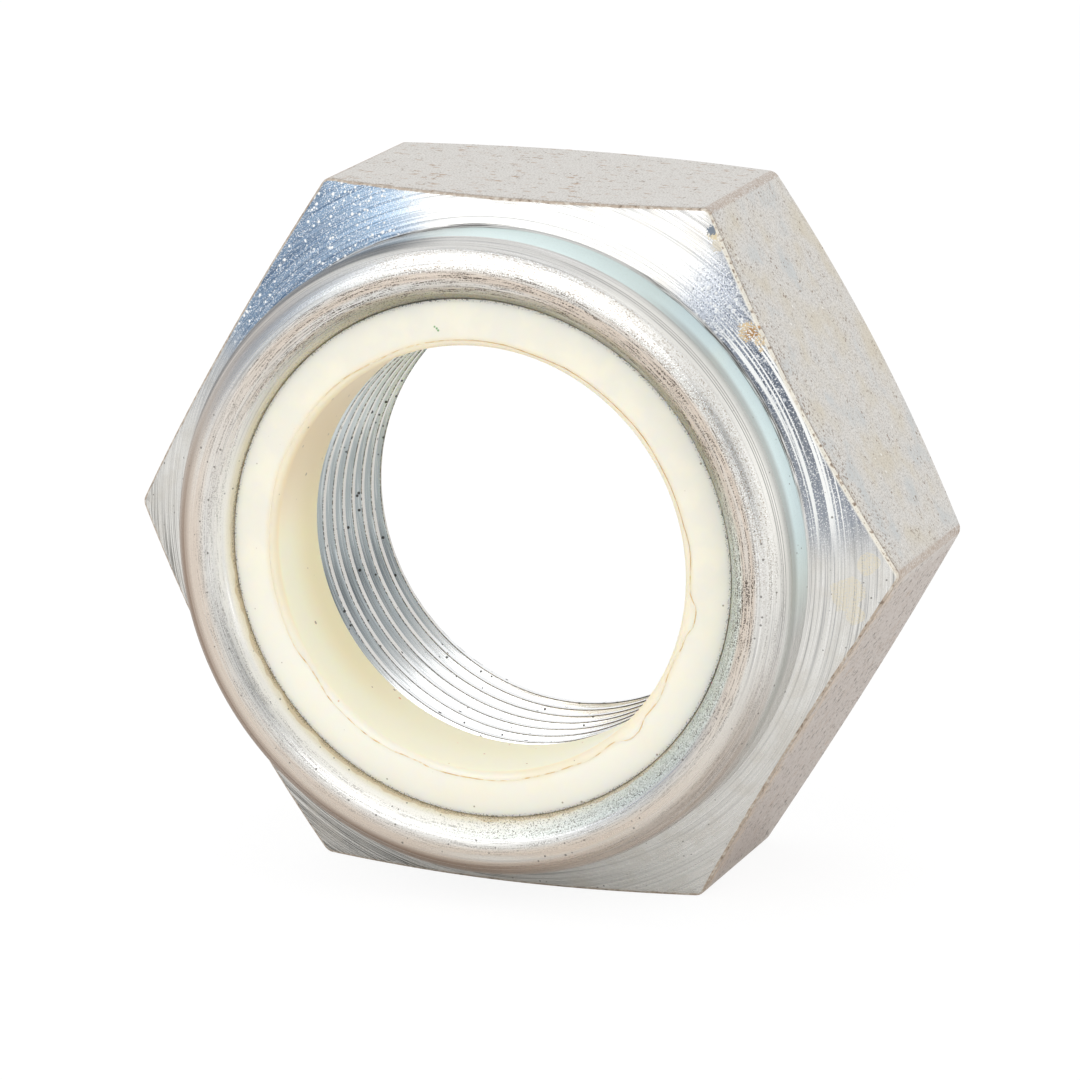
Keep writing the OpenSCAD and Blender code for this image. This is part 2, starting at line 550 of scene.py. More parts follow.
# %% Where a point lies
def lathe_places(tree):
    coordinates = add(tree, "TexCoord").outputs["Object"]
    scaled = add(tree, "VectorMath", {"operation": "SCALE"}, _0=coordinates, Scale=1 / mm)
    x, y, z = add(tree, "SeparateXYZ", _0=scaled).outputs
    flat = add(tree, "CombineXYZ", X=x, Y=0.0, Z=z)
    radius = add(tree, "VectorMath", {"operation": "LENGTH"}, _0=flat).outputs["Value"]
    direction = add(tree, "VectorMath", {"operation": "NORMALIZE"}, _0=flat).outputs["Vector"]
    side, _, up = add(tree, "SeparateXYZ", _0=direction).outputs
    height = add(tree, "Math", {"operation": "MULTIPLY"}, _0=y, _1=-1.0).outputs[0]
    over_lip = add(tree, "Math", {"operation": "SUBTRACT"}, _0=height, _1=LIP_Z)
    beside_lip = add(tree, "Math", {"operation": "SUBTRACT"}, _0=radius, _1=LIP_R)
    lip_angle = add(tree, "Math", {"operation": "ARCTAN2"}, _0=over_lip, _1=beside_lip)
    lip_arc = add(tree, "Math", {"operation": "DEGREES"}, _0=lip_angle).outputs[0]
    back = add(tree, "Math", {"operation": "MULTIPLY"}, _0=side, _1=-1.0)
    tangent = add(tree, "CombineXYZ", X=up, Y=0.0, Z=back).outputs[0]
    return SimpleNamespace(point=scaled.outputs[0], radius=radius, height=height, direction=direction,
                           side=side, up=up, lip_arc=lip_arc, tangent=tangent)


# %% [markdown]
# A mask says how thick a coat lies at a point, from 0 for bare to 1 for full. Masks are made of
# parts that are multiplied: a soft step where some value rises, a sector round the axis, a share.
# A list stands for a choice, of which the largest counts, as when one film lies in three places.

# %% Masks
def mask(tree, *parts):
    """Multiply parts: numbers, sockets, soft steps (value, 0 at, 1 at) and lists, whose largest counts."""
    product = None
    for part in parts:
        if isinstance(part, tuple):
            value, start, end = part
            part = add(tree, "MapRange", {"interpolation_type": "SMOOTHSTEP"},
                       Value=value, From_Min=start, From_Max=end).outputs[0]
        elif isinstance(part, list):
            choices = [mask(tree, choice) for choice in part]
            part = choices[0]
            for choice in choices[1:]:
                part = add(tree, "Math", {"operation": "MAXIMUM"}, _0=part, _1=choice).outputs[0]
        if product is None:
            product = part
        else:
            product = add(tree, "Math", {"operation": "MULTIPLY"}, _0=product, _1=part).outputs[0]
    return product


def within(tree, value, start, end, soft):
    """1 where a value lies between start and end, 0 where it lies soft or more outside."""
    return mask(tree, (value, start - soft, start), (value, end + soft, end))


def towards(tree, places, azimuth, inner, outer):
    """1 inside a sector round the axis of inner degrees to each side, 0 outside outer degrees."""
    aim = outward(azimuth)
    near = add(tree, "VectorMath", {"operation": "DOT_PRODUCT"}, _0=places.direction, _1=aim).outputs["Value"]
    return mask(tree, (near, math.cos(math.radians(outer)), math.cos(math.radians(inner))))


# %% [markdown]
# Four patterns are enough: streaks that run round the axis as tool marks do, blotches, specks in the
# cells of a random net, and single spots at a chosen place, all sized in millimetres. Streaks come
# from a noise in four dimensions: radius and height are scaled by the mark's width, and the
# direction, a point on a circle, by its length, so no seam shows.

# %% Patterns
def streaks(tree, places, width, length, detail):
    turns = COLLAR_RADIUS / length
    corner = add(tree, "CombineXYZ", X=places.radius, Y=places.height, Z=places.side)
    vector = add(tree, "VectorMath", {"operation": "MULTIPLY"}, _0=corner, _1=(1 / width, 1 / width, turns))
    fourth = add(tree, "Math", {"operation": "MULTIPLY"}, _0=places.up, _1=turns)
    return add(tree, "TexNoise", {"noise_dimensions": "4D"}, Vector=vector, W=fourth,
               Scale=1.0, Detail=detail).outputs[0]


def blotches(tree, places, size, detail):
    vector = add(tree, "VectorMath", {"operation": "SCALE"}, _0=places.point, Scale=1 / size)
    return add(tree, "TexNoise", Vector=vector, Scale=1.0, Detail=detail).outputs[0]


def specks(tree, vector, spacing, size, share):
    """Dots of up to a size in mm, in a share of the cells of a random net."""
    net = add(tree, "VectorMath", {"operation": "SCALE"}, _0=vector, Scale=1 / spacing)
    cells = add(tree, "TexVoronoi", Vector=net, Scale=1.0)
    pick, grow, _ = add(tree, "SeparateColor", _0=cells.outputs["Color"]).outputs
    chosen = add(tree, "Math", {"operation": "GREATER_THAN"}, _0=pick, _1=1 - share).outputs[0]
    reach = add(tree, "Math", {"operation": "MULTIPLY"}, _0=grow, _1=size / spacing)
    inside = add(tree, "Math", {"operation": "SUBTRACT"}, _0=reach, _1=cells.outputs["Distance"]).outputs[0]
    return mask(tree, chosen, (inside, 0.0, 0.3 * size / spacing))


def spot(tree, places, azimuth, radius, height, size, ragged=None):
    """A mark of about a size in mm at a place on the nut. A noise can make its outline ragged."""
    centre = outward(azimuth) * radius - Vector((0, height, 0))
    away = add(tree, "VectorMath", {"operation": "DISTANCE"}, _0=places.point, _1=centre).outputs["Value"]
    reach = size / 2
    if ragged is not None:
        away = add(tree, "Math", {"operation": "MULTIPLY_ADD"}, _0=ragged, _1=size, _2=away).outputs[0]
        reach = size
    return mask(tree, (away, reach, reach - 0.08))


def paint(tree, base, coats):
    """Lay coats over a base colour, one after another. A coat is a hex code and the parts of its mask."""
    base = colour(base)
    for tint, *parts in coats:
        thickness = mask(tree, *parts)
        base = add(tree, "Mix", {"data_type": "RGBA"}, _0=thickness, _6=base, _7=colour(tint)).outputs[2]
    return base


# %% [markdown]
# Turned zinc. The collar, the lip and both chamfers were turned on a lathe and then zinc plated.
# The tool left fine rings, up to a tenth of a millimetre wide, some short and some almost all the way round,
# and the plating has a fine grit. The rings are painted as light and dark hairlines, and the light ones are
# painted glints. Both are painted strongest in the lit sector on the upper right, where the softbox lights
# the chamfer, and low on the left the rings are painted dark as painted shade.

# %% Tool marks of the turned zinc, with painted glints and shade
turned, tree = new_material("turned_zinc_plated_steel")
places = lathe_places(tree)
arc = places.lip_arc
rings = streaks(tree, places, width=0.06, length=9, detail=1.5)
long_rings = streaks(tree, places, width=0.11, length=24, detail=1.5)
broad = streaks(tree, places, width=0.45, length=16, detail=1.0)
dashes = streaks(tree, places, width=0.045, length=1.8, detail=1.0)
grit = blotches(tree, places, 0.075, 1.0)
cloud = blotches(tree, places, 1.4, 2.0)
on_chamfer = mask(tree, (places.radius, 18.95, 19.1), (places.height, 10.0, 11.0))
# Painted glints and shade: ring contrast is painted strongest in the lit sector on the upper right.
lit_sector = mask(tree, [towards(tree, places, 70, 70, 115), 0.4])
tool_coats = [
    ("#a3a4a6", (rings, 0.53, 0.66), lit_sector, 0.7),
    ("#f6f6f5", (rings, 0.45, 0.34), lit_sector, 0.7),
    ("#8c8d8e", (long_rings, 0.57, 0.64), on_chamfer, lit_sector, 0.5),
    # Painted shade: dark rings low on the left.
    ("#62605b", (rings, 0.49, 0.58), on_chamfer, towards(tree, places, 228, 32, 60), 0.85),
    ("#c9c4bb", (cloud, 0.45, 0.7), on_chamfer, 0.35),
]
print("coats of tool marks:", len(tool_coats))

# %% [markdown]
# Seen from the front, the chamfer throws back different parts of the studio in different sectors:
# a blue one at the upper left, a dark slate one on the right and a finely speckled one above it.
# The rendered reflections alone are too even, so each fan's reflection is painted into the colour as well: a
# painted reflection in its own colour, which on the blue fan is partly a blue film of the plating.

# %% Fans of colour on the front chamfer
# Painted reflections: sectors of the chamfer tinted as the studio they mirror; the blue one is partly a blue
# film.
blue_film_and_reflection = mask(tree, towards(tree, places, 127, 14, 25), on_chamfer)
slate_fan_reflection = mask(tree, towards(tree, places, 26, 14, 25), on_chamfer)
speckled_fan_reflection = mask(tree, towards(tree, places, 42, 7, 17), on_chamfer)
fan_coats = [
    ("#a0b8ce", blue_film_and_reflection, 0.9),
    ("#aab6cb", speckled_fan_reflection, 0.6),
    ("#8791a3", slate_fan_reflection, 0.75),
    ("#4d6685", blue_film_and_reflection, (rings, 0.51, 0.60), 0.7),
]
print("coats of the fans:", len(fan_coats))

# %% [markdown]
# Handling and age left films on the zinc, thin enough for the metal to show through. The lip has a pale
# pinkish beige band on its upper side and another on its lower side. Low on the left, on the left and low on
# the right, its outside is painted brown as painted shade, where it looks down at the shadowed floor. Where
# it dives to the nylon on the upper right it is darker, with grime and painted shade, and it is greenish on
# the lower right. The pale coats on the right and on the lower left are painted highlights. The collar's wall
# keeps the pale blue-green of its passivation, painted brighter on the upper right as a painted reflection.
# Each film is a band of the lip's arc, a sector round the axis and a thickness.

# %% Films and painted light on the lip and on the collar's wall
top_side = towards(tree, places, 60, 60, 130)
# A sector on the upper right that carries dirt and painted shade.
dirt_and_shade_side = towards(tree, places, 48, 50, 108)
warm_top = mask(tree, within(tree, arc, 92, 122, 12), top_side)
warm_low = mask(tree, within(tree, arc, 35, 84, 22), towards(tree, places, 240, 50, 120))
# Painted shade: the lip's outside is painted brown on the sides that look down at the shadowed floor.
brown_shaded_sides = [mask(tree, towards(tree, places, *sector), share) for *sector, share in
               ((226, 30, 90, 0.95), (172, 30, 60, 0.4), (302, 25, 50, 0.45))]
# Grime and painted shade: the lip's inner slope is darker where it dives to the nylon.
grime_and_shade = mask(tree, (arc, 112, 132), (broad, 0.2, 0.55), dirt_and_shade_side, 0.85)
green_film = mask(tree, within(tree, arc, 118, 158, 10), towards(tree, places, 320, 40, 70), 0.6)
# Painted highlight: a pale matt coat on the lip's outside on the right.
pale_side_highlight = mask(tree, within(tree, arc, 18, 58, 12), towards(tree, places, 32, 22, 42), 0.55)
# Painted highlight: a pale matt coat over the lip's highlight on the lower left.
pale_film_highlight = mask(tree, (arc, 108, 140), towards(tree, places, 228, 50, 85), (broad, 0.25, 0.5), 0.8)
ragged_arc = add(tree, "Math", {"operation": "MULTIPLY_ADD"}, _0=cloud, _1=25.78, _2=arc).outputs[0]
tan_burr = mask(tree, (ragged_arc, 165, 168), towards(tree, places, 255, 60, 95), 0.75)
wall = mask(tree, within(tree, places.height, 16.55, 18.9, 0.25),
            within(tree, places.radius, 18.6, 19.0, 0.05))
# The passivation's pale blue-green, painted brighter on the upper right as a painted reflection.
wall_tint_and_reflection = mask(tree, wall, towards(tree, places, 50, 40, 62), 0.92)
upper_left = mask(tree, within(tree, arc, -14, 30, 12), towards(tree, places, 130, 20, 36))
film_coats = [
    ("#d8c8b9", [warm_top, warm_low], (broad, 0.22, 0.55), 0.75),
    ("#917c6c", within(tree, arc, -10, 52, 22), brown_shaded_sides, [(long_rings, 0.34, 0.50), 0.75]),
    ("#a39d88", grime_and_shade),
    # Painted shade, with grime, deeper in the dive to the nylon.
    ("#8f8b79", (arc, 134, 156), dirt_and_shade_side, 0.55),
    ("#cfdad2", green_film),
    ("#606468", upper_left, [(rings, 0.38, 0.54), 0.75], 0.95),
    ("#f4f2ec", pale_side_highlight),
    ("#f6f4ec", pale_film_highlight),
    ("#e2d9bd", (arc, 138, 154), towards(tree, places, 205, 72, 105), 0.7),
    ("#cbb998", tan_burr),
    ("#edffff", wall_tint_and_reflection),
    ("#b3b6b1", within(tree, arc, -6, 6, 24), towards(tree, places, 12, 30, 52), 0.75),
]
print("coats of film:", len(film_coats))

# %% [markdown]
# Between the rings the plating is not smooth. Its grit shows as fine white points, painted glints where light
# falls straight on it, and as fine dark points where grime has settled. On the speckled fan the dark points
# are part of its painted reflection.

# %% Grit in the plating
dark_grit = mask(tree, (grit, 0.42, 0.34))
# Painted glints: the grit's white points.
grit_glints = mask(tree, (grit, 0.57, 0.64))
bright_band = mask(tree, within(tree, arc, 50, 84, 8), towards(tree, places, 58, 40, 68))
grit_coats = [
    ("#fdfdfd", grit_glints, [slate_fan_reflection, speckled_fan_reflection, blue_film_and_reflection, bright_band, green_film], 0.8),
    ("#5a554f", dark_grit, [grime_and_shade, mask(tree, green_film, 1.6), 0.12], 0.8),
    ("#4c5566", dark_grit, speckled_fan_reflection, 0.9),
    ("#9a8672", bright_band, (grit, 0.44, 0.38), (dashes, 0.44, 0.54), 0.8),
]
print("coats of grit:", len(grit_coats))

# %% [markdown]
# Dirt collects where a cloth doesn't reach: in the corner between collar and chamfer, in the seam
# where the lip meets the nylon, and in the scores that the rolling tool left on the lip. On the
# upper right three deeper tool lines run round the lip's outer shoulder.

# %% Dirt and scores
corner = mask(tree, within(tree, places.radius, 18.8, 19.06, 0.05),
              within(tree, places.height, 16.0, 16.5, 0.16))
corner_sides = [towards(tree, places, 38, 16, 30), towards(tree, places, 122, 26, 40)]
corner_dirt = mask(tree, corner, corner_sides, (dashes, 0.46, 0.56), 0.9)
seam_dirt = mask(tree, (arc, 156.5, 159.5), (grit, 0.50, 0.44), (cloud, 0.34, 0.48), [dirt_and_shade_side, 0.5], 0.95)
stray_dirt = mask(tree, (arc, 126, 158), (grit, 0.43, 0.37), dirt_and_shade_side, 0.85)
scored_top = mask(tree, within(tree, arc, 86, 130, 6), [top_side, 0.4])
scored_low = mask(tree, within(tree, arc, 30, 60, 10), towards(tree, places, 320, 40, 60), 0.35)
tool_lines = [within(tree, arc, angle, angle + 0.7, 0.9) for angle in (26, 31, 35.5)]
dirt_coats = [
    ("#3a3733", corner_dirt),
    ("#514840", [scored_top, scored_low], (dashes, 0.50, 0.57), (grit, 0.55, 0.47), 0.95),
    ("#4b4846", tool_lines, towards(tree, places, 40, 40, 62), (broad, 0.35, 0.5), 0.6),
    ("#262421", [seam_dirt, stray_dirt]),
]
print("coats of dirt:", len(dirt_coats))

# %% [markdown]
# Last come single things: small white specks with a small bump, painted glints on the blue fan and, fainter,
# on the speckled fan; white rings beside the collar on the slate fan, also painted glints; dark pits; the
# burr that the right flat's edge carries, cream-white and painted bright as a highlight; a tan stain at the
# right corner; a nick near the top right corner; and a spot of rust.

# %% Painted glints, rust and a nick
# Painted glints: white specks on the fans.
fan_glint_specks = mask(tree, specks(tree, places.point, 0.25, 0.13, 0.60), [blue_film_and_reflection, mask(tree, speckled_fan_reflection, 0.6)])
# Painted glints: white rings on the slate fan.
glinting_rings = mask(tree, slate_fan_reflection, (long_rings, 0.45, 0.40), [(places.radius, 21.9, 21.0), 0.3], 0.95)
pits = mask(tree, specks(tree, places.point, 0.42, 0.09, 0.40), (places.up, 0.8, 0.3))
to_right_flat = add(tree, "VectorMath", {"operation": "DOT_PRODUCT"}, _0=places.point, _1=outward(30))
# A burr along the right flat's edge, painted bright as a highlight.
burr_and_highlight = mask(tree, (to_right_flat.outputs["Value"], 20.22, 20.36), on_chamfer, (cloud, 0.30, 0.42))
stain = [spot(tree, places, *blot, cloud) for blot in
         ((357.3, 20.9, 15.3, 1.9), (354, 21.4, 15.1, 1.2), (2.0, 22.0, 14.8, 1.3))]
stain = mask(tree, stain, (grit, 0.34, 0.56), 0.5)
nick_rim = mask(tree, [spot(tree, places, 57.4, 22.80, 14.38, 0.8, grit),
                       mask(tree, spot(tree, places, 55.8, 22.4, 14.57, 0.75, grit), 0.5)])
rust_ring = [spot(tree, places, *blot, grit) for blot in
             ((43.2, 20.35, 15.58, 1.1), (41.0, 20.6, 15.46, 0.75), (39.6, 20.28, 15.62, 0.3),
              (41.0, 21.0, 15.26, 0.35), (70.5, 19.6, 15.95, 0.14))]
rust_ring = mask(tree, rust_ring, (grit, 0.58, 0.50))
rust_heart = spot(tree, places, 42.6, 20.4, 15.55, 0.7, grit)
spot_coats = [
    ("#fbfbfa", [fan_glint_specks, glinting_rings]),
    ("#57534d", pits, 0.75),
    ("#f3eee2", burr_and_highlight),
    ("#e3d6b6", stain),
    ("#d8c9a8", nick_rim),
    ("#76808c", spot(tree, places, 57.8, 22.84, 14.36, 0.62, grit)),
    ("#d8c098", rust_ring),
    ("#a9804e", rust_heart, (grit, 0.56, 0.46)),
]
print("coats of single marks:", len(spot_coats))

# %% [markdown]
# Now the coats go over the bare zinc in the order of the lists above. Metal stays metal only where it is
# bare, so dirt, rust, thick films and the painted glints, highlights and reflection take the metallic value
# down and make it rougher. The rings stretch every reflection across themselves: that is anisotropy, with its
# tangent round the axis. A bump of 0.014 mm lets the hairlines glint.

# %% Put the turned zinc together
surface = paint(tree, "#dcdbd8", tool_coats + fan_coats + film_coats + grit_coats + dirt_coats + spot_coats)
matt = mask(tree, [
    burr_and_highlight, fan_glint_specks, glinting_rings, rust_ring, rust_heart, stain, nick_rim,
    mask(tree, wall_tint_and_reflection, 0.3),
    mask(tree, [pale_film_highlight, pale_side_highlight, tan_burr], 0.7),
    mask(tree, green_film, 0.7),
    mask(tree, [seam_dirt, stray_dirt, corner_dirt], 0.8),
    mask(tree, pits, 0.6),
    mask(tree, grit_glints, [slate_fan_reflection, speckled_fan_reflection, blue_film_and_reflection, green_film], 0.7),
])
metal = add(tree, "Math", {"operation": "SUBTRACT"}, _0=1.0, _1=matt)
gloss = add(tree, "MapRange", Value=rings, From_Min=0.3, From_Max=0.7, To_Min=0.22, To_Max=0.36)
gloss = add(tree, "Math", {"operation": "MULTIPLY_ADD"}, _0=matt, _1=0.3, _2=gloss)
relief = add(tree, "Math", {"operation": "MULTIPLY_ADD"}, _0=fan_glint_specks, _1=1.2, _2=rings)
relief = add(tree, "Math", {"operation": "MULTIPLY_ADD"}, _0=grit, _1=0.5, _2=relief)
bump = add(tree, "Bump", Strength=1.0, Distance=0.014 * mm, Height=relief)
shader = add(tree, "BsdfPrincipled", Base_Color=surface, Metallic=metal, Roughness=gloss, Normal=bump,
             Anisotropic=0.7, Anisotropic_Rotation=0.25, Tangent=places.tangent)
close_material(turned, shader)

# %% [markdown]
# The six flats come from drawn hexagon bar and weren't turned, so they show no rings. Their zinc
# has gone dull: a warm grey with faint yellow-brown clouds, short brown dashes that lie along the
# flat, and dark specks that crowd at the front edge, where the plating was rubbed. Each flat that
# the camera sees has its own share of these. The upright corners are rubbed to a pinkish brown.

# %% Marks on the flats
flat_zinc, tree = new_material("drawn_zinc_plated_steel")
places = lathe_places(tree)
cloud = blotches(tree, places, 3.0, 3.0)
small_cloud = blotches(tree, places, 0.8, 2.0)
grain = blotches(tree, places, 0.10, 2.0)
edge_height = add(tree, "Math", {"operation": "MULTIPLY_ADD"}, _0=places.radius, _1=-math.tan(FRONT_SLOPE),
                  _2=HEX_HEIGHT + COLLAR_RADIUS * math.tan(FRONT_SLOPE))
from_edge = add(tree, "Math", {"operation": "SUBTRACT"}, _0=edge_height, _1=places.height).outputs[0]
top_flat = towards(tree, places, 90, 26, 32)
right_flat = towards(tree, places, 30, 26, 32)
low_flat = towards(tree, places, 330, 26, 32)
along = add(tree, "CombineXYZ", X=places.side, Y=places.up, Z=places.height)
along = add(tree, "VectorMath", {"operation": "MULTIPLY"}, _0=along, _1=(7.0, 7.0, 1.0)).outputs[0]
brown_dashes = mask(tree, specks(tree, along, 0.17, 0.13, 0.30), [
    mask(tree, top_flat, (small_cloud, 0.40, 0.60)), mask(tree, low_flat, (cloud, 0.45, 0.6), 0.7), 0.12])
dots = mask(tree, specks(tree, places.point, 0.17, 0.105, 0.75), [
    mask(tree, right_flat, (from_edge, 4.0, 0.2)), mask(tree, low_flat, 0.7), (small_cloud, 0.50, 0.66), 0.2])
low_dots = mask(tree, specks(tree, places.point, 0.31, 0.19, 0.60), low_flat,
                [(small_cloud, 0.40, 0.56), 0.3])
rubbed = mask(tree, (from_edge, 0.8, 0.1), (grain, 0.50, 0.62))
edge_line = mask(tree, (from_edge, 0.30, 0.05), (small_cloud, 0.30, 0.5))
flat_coats = [
    ("#b5b1ac", (grain, 0.52, 0.64), 0.75),
    ("#eeecea", (grain, 0.46, 0.34), 0.45),
    ("#d6caaf", right_flat, (cloud, 0.44, 0.72), 0.45),
    ("#c8cdcf", right_flat, (cloud, 0.46, 0.30), 0.6),
    # Painted shade: the whole lower right flat is painted darker and pinker.
    ("#b9aba5", low_flat, 0.6),
    ("#d6c2ac", low_flat, (from_edge, 2.6, 0.3), (small_cloud, 0.34, 0.56), 0.75),
    ("#a8835f", brown_dashes, 0.85),
    ("#7c634c", dots, 0.85),
    ("#55483f", low_dots, 0.9),
    ("#f8f6f2", specks(tree, places.point, 0.5, 0.1, 0.25), 0.8),
    ("#94806c", rubbed, 0.75),
    ("#7a6a5a", edge_line, 0.6),
    ("#b8a596", (places.radius, 23.46, 23.54), (grain, 0.34, 0.54), 0.65),
]
print("coats on the flats:", len(flat_coats))

# %% [markdown]
# Dull zinc is still metal, but rougher than the turned faces, so it reflects as a soft sheen. The
# dots, dashes and rubbed places are dirt and so less metallic. The grain is too fine to model and
# is a bump of 0.012 mm.

# %% Put the dull zinc together
surface = paint(tree, "#dcd9d4", flat_coats)
matt = mask(tree, [brown_dashes, dots, low_dots, rubbed, edge_line], 0.7)
metal = add(tree, "Math", {"operation": "SUBTRACT"}, _0=1.0, _1=matt)
gloss = add(tree, "MapRange", Value=small_cloud, From_Min=0.3, From_Max=0.7, To_Min=0.40, To_Max=0.52)
bump = add(tree, "Bump", Strength=0.8, Distance=0.012 * mm, Height=grain)
shader = add(tree, "BsdfPrincipled", Base_Color=surface, Metallic=metal, Roughness=gloss, Normal=bump)
close_material(flat_zinc, shader)

# %% [markdown]
# The rims between the flats and the chamfer are where the nut was handled and knocked. On the right flat,
# which the camera sees best, the plating stands up as a thin, bumpy burr with orange specks, and there the
# rim is painted cream-white as a painted highlight; elsewhere the rim is a worn tan.

# %% Worn zinc on the rims, with a painted highlight
rim_zinc, tree = new_material("worn_zinc_rim")
places = lathe_places(tree)
lumps = blotches(tree, places, 0.28, 3.0)
# Painted highlight: the right flat's rim is painted cream-white.
highlit_right_rim = towards(tree, places, 30, 26, 34)
surface = paint(tree, "#b9aa9b", [
    ("#f1ece0", highlit_right_rim, (lumps, 0.66, 0.46)),
    ("#d9d4cb", (lumps, 0.50, 0.40), 0.6),
    ("#6b5a4a", (lumps, 0.58, 0.70), 0.7),
    ("#c9924f", specks(tree, places.point, 0.5, 0.2, 0.25), highlit_right_rim, 0.8),
])
bump = add(tree, "Bump", Strength=0.9, Distance=0.03 * mm, Height=lumps)
shader = add(tree, "BsdfPrincipled", Base_Color=surface, Metallic=0.45, Roughness=0.45, Normal=bump)
close_material(rim_zinc, shader)

# %% [markdown]
# The thread was tapped and plated too. Its flanks are cleaner and bluer than the outside, with short marks
# along the cut. Its crests are narrow flats, paler than the flanks, with a dark line on each side: dots of
# dirt, and on the lower part of the bore a line of painted shade. The light from the front left is painted
# in: the lower part of the bore is painted near white as a painted highlight, and one sector on the left is
# painted darker as painted shade.

# %% Tapped zinc
tapped, tree = new_material("tapped_zinc_plated_steel")
places = lathe_places(tree)
marks = streaks(tree, places, width=0.10, length=6, detail=2.0)
grit = blotches(tree, places, 0.10, 1.0)
crest = mask(tree, (places.radius, MINOR_RADIUS + 0.035, MINOR_RADIUS + 0.015))
crest_edge = within(tree, places.radius, MINOR_RADIUS + 0.012, MINOR_RADIUS + 0.05, 0.01)
root = mask(tree, (places.radius, MINOR_RADIUS + 0.05, MAJOR_RADIUS - 0.25))
rusty_side = towards(tree, places, 305, 10, 26)
# Painted shade in one sector on the left, and a painted highlight on the lower part of the bore.
shaded_side = towards(tree, places, 185, 14, 28)
lit_side = towards(tree, places, 268, 34, 52)
surface = paint(tree, "#ccd4d8", [
    ("#fdfeff", lit_side),
    ("#9aa2a4", shaded_side, 0.8),
    ("#aab1b5", (marks, 0.52, 0.66), 0.45),
    ("#eef1f3", (marks, 0.46, 0.36), 0.4),
    ("#a9b0b3", root, 0.5),
    ("#dedad5", crest, (lit_side, 1.0, 0.4), 0.8),
    ("#4a4641", crest_edge, (grit, 0.40, 0.56), 0.9),
    # Painted shade: a dark line along each crest edge on the lower part.
    ("#6f6a62", crest_edge, lit_side, 0.75),
    ("#3b2418", rusty_side, crest_edge, (grit, 0.34, 0.46)),
    ("#2f2c29", specks(tree, places.point, 0.40, 0.13, 0.35), 0.9),
])
bump = add(tree, "Bump", Strength=0.8, Distance=0.010 * mm, Height=marks)
shader = add(tree, "BsdfPrincipled", Base_Color=surface, Metallic=1.0, Roughness=0.24, Normal=bump)
close_material(tapped, shader)

# %% [markdown]
# The ring is natural nylon, moulded. It is a little see-through: light goes in at the face and comes out
# warmer and yellower in the bore, and yellowest towards the upper left, where it has the farthest to go. That
# light is painted into the bore's colour, over a warmer tint of its own, and a sector of the bore on the
# upper left is painted tan as painted shade. The face is painted a little darker towards the top as painted
# shade. Fine dust and swarf lie on the face, and one green fibre near the top.

# %% Marks and painted light on the nylon
nylon, tree = new_material("moulded_nylon")
places = lathe_places(tree)
cloud = blotches(tree, places, 2.5, 3.0)
fine_grit = blotches(tree, places, 0.09, 1.0)
in_bore = mask(tree, (places.radius, 13.05, 12.62), (places.height, 19.75, 19.2))
deep_left = mask(tree, (places.height, 18.2, 14.6), [towards(tree, places, 172, 40, 85), 0.35])
thin_edge = mask(tree, (places.radius, 13.35, 12.95), (places.height, 19.0, 19.4),
                 towards(tree, places, 60, 130, 160))
upward = add(tree, "SeparateXYZ", _0=places.point).outputs["Z"]
fibre = [spot(tree, places, *blot) for blot in
         ((100.2, 13.62, 19.77, 0.2), (100.5, 13.74, 19.76, 0.2), (101.0, 13.85, 19.75, 0.18))]
nylon_coats = [
    # Painted shade: the face is a little darker towards the top.
    ("#e9e6da", (upward, -11.0, 3.0), 0.9),
    ("#f5f0dd", (cloud, 0.4, 0.65), 0.5),
    # Painted light: the bore's warm yellow glow, over a warmer tint of its own.
    ("#fff7de", in_bore),
    ("#efe5bb", in_bore, deep_left, 0.85),
    # Painted shade: a sector of the bore on the upper left.
    ("#dcc8a2", in_bore, towards(tree, places, 124, 18, 62)),
    ("#f2dfb8", thin_edge, 0.38),
    ("#e6dcc0", (places.radius, 15.0, 15.4), 0.35),
    ("#4a443b", (places.radius, 15.12, 15.3), (fine_grit, 0.44, 0.38), 0.8),
    ("#8a7c66", specks(tree, places.point, 0.8, 0.13, 0.5), 0.8),
    ("#d79a52", specks(tree, places.point, 1.7, 0.16, 0.35), 0.8),
    ("#5f9a4c", fibre),
]
print("coats on the nylon:", len(nylon_coats))

# %% [markdown]
# Light that travels inside the nylon is subsurface scattering, with a reach of about a millimetre,
# longest for red. Without more, the bore would stay darker than the real one, which also glows with
# light that went round inside the ring, so a small emission in the bore's own colour stands in for
# that. It needn't light anything else, so it isn't sampled as a lamp, which saves time.

# %% Put the nylon together
surface = paint(tree, "#f3f0e4", nylon_coats)
nylon.cycles.emission_sampling = "NONE"
shader = add(tree, "BsdfPrincipled", Base_Color=surface, Roughness=0.38, IOR=1.53,
             Subsurface_Weight=0.7, Subsurface_Radius=(1.0, 0.8, 0.45), Subsurface_Scale=1.0 * mm,
             Emission_Color=surface, Emission_Strength=mask(tree, in_bore, 0.09))
close_material(nylon, shader)

# %% [markdown]
# The flash is the same nylon, but dust and oil have caught on it, so it shows as a thin tan line
# that is darker in some places than in others, and almost clean on the left.

# %% Stained flash
flash_nylon, tree = new_material("stained_nylon_flash")
places = lathe_places(tree)
lumps = blotches(tree, places, 0.6, 3.0)
stained = mask(tree, (towards(tree, places, 172, 24, 48), 1.0, 0.2))
surface = paint(tree, "#f7efda", [
    ("#e6c893", stained, (lumps, 0.40, 0.60)),
    ("#c0915a", stained, [(lumps, 0.60, 0.72), towards(tree, places, 50, 36, 56)], 0.6),
])
shader = add(tree, "BsdfPrincipled", Base_Color=surface, Roughness=0.45, IOR=1.53)
close_material(flash_nylon, shader)

# %% [markdown]
# The nut and the ring take the place of the plain CAD solids, and both ride on the one body. The
# order of the steel's materials is the order in which its finishes were numbered above.

